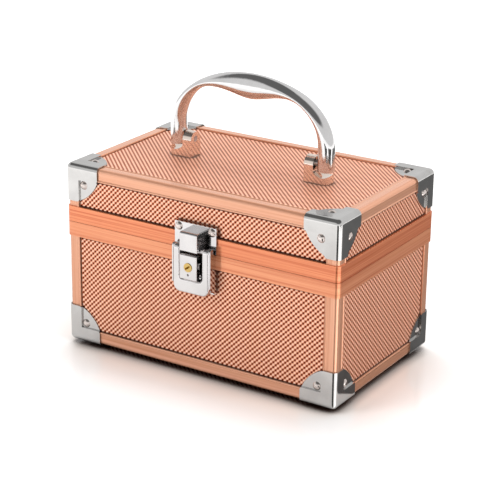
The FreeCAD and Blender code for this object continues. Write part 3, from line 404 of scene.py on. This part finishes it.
bottom_level = FRAME_BOTTOM + BOARD_RECESS - EMBOSS_RISE
embossed_sheet("top_foil", "top", window_x, window_y, (0, 0, top_level), "lid")
embossed_sheet("bottom_foil", "bottom", window_x, window_y, (0, 0, bottom_level), "base")


def lining_tray(name, node, body, opens_up):
    """A fabric-covered tray: an open box with rounded inner edges and a soft rolled rim."""
    low, high = (Vector(corner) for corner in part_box(node))
    start_piece()
    bpy.ops.mesh.primitive_cube_add(size=1)
    tray = bpy.context.object
    tray.name = name
    tray.scale = high - low
    tray.location = (low + high) / 2
    bpy.ops.object.transform_apply(location=True, scale=True)
    mouth = high.z if opens_up else low.z
    select_points(tray, lambda co: abs(co.z - mouth) < SAME_PLACE)
    bpy.ops.mesh.delete(type="ONLY_FACE")
    bpy.ops.object.mode_set(mode="OBJECT")
    apply_modifier(tray, "SOLIDIFY", thickness=TRAY_THICKNESS * MM, offset=-1, use_even_offset=True)
    apply_modifier(tray, "BEVEL", width=TRAY_ROUND * MM, segments=3, limit_method="ANGLE")
    bpy.ops.object.shade_smooth_by_angle(angle=math.radians(40))
    settle(tray, Matrix.Identity(4), body, velvet)
    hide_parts(node)


lining_tray("base_tray", "base_lining", "base", True)
lining_tray("lid_tray", "lid_lining", "lid", False)

# Camera at the photograph's viewing angle
AZIMUTH, ELEVATION, ROLL = math.radians(31.899), math.radians(20.496), math.radians(0.804)
FOCAL_PIXELS, FRAME_PIXELS, SENSOR = 1718.5, 500.0, 36.0
CAMERA_PLACE = Vector((553.34, -888.36 + CASE_SHIFT, 458.16)) * MM
level_back = Vector((math.sin(AZIMUTH), -math.cos(AZIMUTH), 0))
back = level_back * math.cos(ELEVATION) + Z * math.sin(ELEVATION)
right = Vector((math.cos(AZIMUTH), math.sin(AZIMUTH), 0))
up = back.cross(right)
rolled_right = right * math.cos(ROLL) + up * math.sin(ROLL)
rolled_up = up * math.cos(ROLL) - right * math.sin(ROLL)
bpy.ops.object.camera_add()
camera = bpy.context.object
camera.data.sensor_width = SENSOR
camera.data.lens = FOCAL_PIXELS / FRAME_PIXELS * SENSOR
camera.data.clip_start = 0.01
turn = Matrix((rolled_right, rolled_up, back)).transposed().to_4x4()
camera.matrix_world = Matrix.Translation(CAMERA_PLACE) @ turn
scene.camera = camera

# Floor: white and a little glossy, with a painted deep shadow where the case stands close over it and a warm
# painted shade around it
start_piece()
FLOOR_SIZE = 6
bpy.ops.mesh.primitive_plane_add(size=FLOOR_SIZE)
floor = bpy.context.object
floor.name = "floor"
ground = Finish("pale_floor")
seen = ground.ray("Is Camera Ray") + ground.ray("Is Glossy Ray") + ground.ray("Is Transmission Ray")
places = ground.node("ShaderNodeTexCoord", output="Object")
away = ground.node("ShaderNodeVectorMath", {"operation": "LENGTH"}, [places], output="Value").smooth(0.12, 0.7)
# Painted shadow: near black within 14 mm of the case, and painted warm shade within 60 mm
lit = ground.openness(14, 0.2, 0.8)
warm_shade_halo = ground.mix(ground.openness(60, 0.5, 0.95), (0.84, 0.76, 0.71, 1), (0.86, 0.86, 0.86, 1))
pale = ground.mix(ground.ray("Is Glossy Ray"), warm_shade_halo, (0.66, 0.65, 0.64, 1))
ground.set(
    Base_Color=ground.mix(lit, (0.03, 0.012, 0.008, 1), pale),
    Roughness=0.03,
    Specular_IOR_Level=1.0,
    Emission_Color=seen * away * 0.6,
    Emission_Strength=1.0,
)
floor.data.materials.append(ground.material)


def softbox(name, place, size, watts):
    """A soft lamp that faces the case and that reflections don't show."""
    start_piece()
    bpy.ops.object.light_add(type="AREA", location=place)
    lamp = bpy.context.object
    lamp.name = name
    lamp.data.shape = "RECTANGLE"
    lamp.data.size, lamp.data.size_y = size
    lamp.data.energy = watts
    lamp.visible_glossy = False
    lamp.rotation_euler = (CASE_MIDDLE - Vector(place)).to_track_quat("-Z", "Y").to_euler()


CASE_MIDDLE = Vector((0, 0, 0.07))
softbox("key_softbox", (-0.95, -1.25, 1.0), (0.6, 0.6), 12)
softbox("top_softbox", (-0.3, 0.4, 1.5), (1.0, 0.8), 18)
softbox("side_softbox", (1.3, -0.1, 0.8), (0.8, 0.8), 16)

# Height of the reflected cards over the floor, in millimetres
CARD_LEVEL = 0.5


def card(name, azimuths, length, tone, glow=0.0, near=0.0):
    """A wedge of card on the floor that only reflections see. It points at the front right corner of the case,
    its azimuths, in degrees, count from straight ahead of the case to its right, and its tip is cut off where
    it is nearer than the near distance, in millimetres."""
    start_piece()
    bpy.ops.mesh.primitive_circle_add(vertices=3, radius=1, fill_type="NGON")
    wedge = bpy.context.object
    wedge.name = name
    bpy.ops.object.mode_set(mode="EDIT")
    cut = (0, 1 - 1.5 * near / length, 0)
    bpy.ops.mesh.bisect(plane_co=cut, plane_no=(0, 1, 0), clear_outer=True)
    bpy.ops.object.mode_set(mode="OBJECT")
    middle, spread = sum(azimuths) / 2, (azimuths[1] - azimuths[0]) / 2
    reach = length * MM
    # The triangle's tip is at y = 1 and its far edge, sqrt(3) wide, at y = -0.5
    wedge.scale = (reach * math.tan(math.radians(spread)) * 2 / math.sqrt(3), reach / 1.5, 1)
    turn = math.radians(middle)
    far = Vector((math.sin(turn), -math.cos(turn), 0)) * reach * 2 / 3
    tip = Vector((HALF_WIDTH, CASE_SHIFT - HALF_DEPTH, 0)) * MM
    wedge.location = tip + far + Vector((0, 0, CARD_LEVEL * MM))
    wedge.rotation_euler = (0, 0, turn)
    paper = Finish(f"{name}_paper")
    paper.set(
        Base_Color=(tone, tone, tone, 1),
        Roughness=0.9,
        Emission_Color=(1, 1, 1, 1),
        Emission_Strength=glow,
        Alpha=1 - paper.node("ShaderNodeNewGeometry", output="Backfacing"),
    )
    wedge.data.materials.append(paper.material)
    wedge.visible_camera = False
    wedge.visible_diffuse = False
    wedge.visible_shadow = False


card("dark_front_card", (5, 38), 700, 0.02)
card("bright_card", (50, 100), 330, 0.5, glow=1.2)
card("dark_far_card", (55, 100), 900, 0.03, near=335)
card("dark_side_card", (115, 179), 900, 0.09, near=30)

# World: a white studio with a dark ceiling, so that polished metal has contrast
world = bpy.data.worlds.new("studio")
scene.world = world
world.use_nodes = True
tree = world.node_tree
direction = tree.nodes.new("ShaderNodeTexCoord")


def shade_towards(aim, start, end, shade):
    """A factor that falls from 1 to the shade as a ray turns towards an aim."""
    towards = tree.nodes.new("ShaderNodeVectorMath")
    towards.operation = "DOT_PRODUCT"
    towards.inputs[1].default_value = aim
    tree.links.new(direction.outputs["Generated"], towards.inputs[0])
    fall = tree.nodes.new("ShaderNodeMapRange")
    fall.interpolation_type = "SMOOTHSTEP"
    limits = {"From Min": start, "From Max": end, "To Min": 1.0, "To Max": shade}
    for name, limit in limits.items():
        fall.inputs[name].default_value = limit
    tree.links.new(towards.outputs["Value"], fall.inputs["Value"])
    return fall.outputs[0]


ceiling = shade_towards((0.1, -0.25, 0.963), 0.56, 0.72, 0.18)
even = tree.nodes["Background"]
even.inputs["Color"].default_value = (1, 1, 1, 1)
EVEN_LIGHT = 0.55
even.inputs["Strength"].default_value = EVEN_LIGHT
mirrored = tree.nodes.new("ShaderNodeBackground")
tree.links.new(ceiling, mirrored.inputs["Strength"])
backdrop = tree.nodes.new("ShaderNodeBackground")
backdrop.inputs["Color"].default_value = (1, 1, 1, 1)
path = tree.nodes.new("ShaderNodeLightPath")
for_metal = tree.nodes.new("ShaderNodeMixShader")
tree.links.new(path.outputs["Is Glossy Ray"], for_metal.inputs[0])
tree.links.new(even.outputs[0], for_metal.inputs[1])
tree.links.new(mirrored.outputs[0], for_metal.inputs[2])
for_camera = tree.nodes.new("ShaderNodeMixShader")
tree.links.new(path.outputs["Is Camera Ray"], for_camera.inputs[0])
tree.links.new(for_metal.outputs[0], for_camera.inputs[1])
tree.links.new(backdrop.outputs[0], for_camera.inputs[2])
tree.links.new(for_camera.outputs[0], tree.nodes["World Output"].inputs["Surface"])

scene.view_settings.view_transform = "Standard"
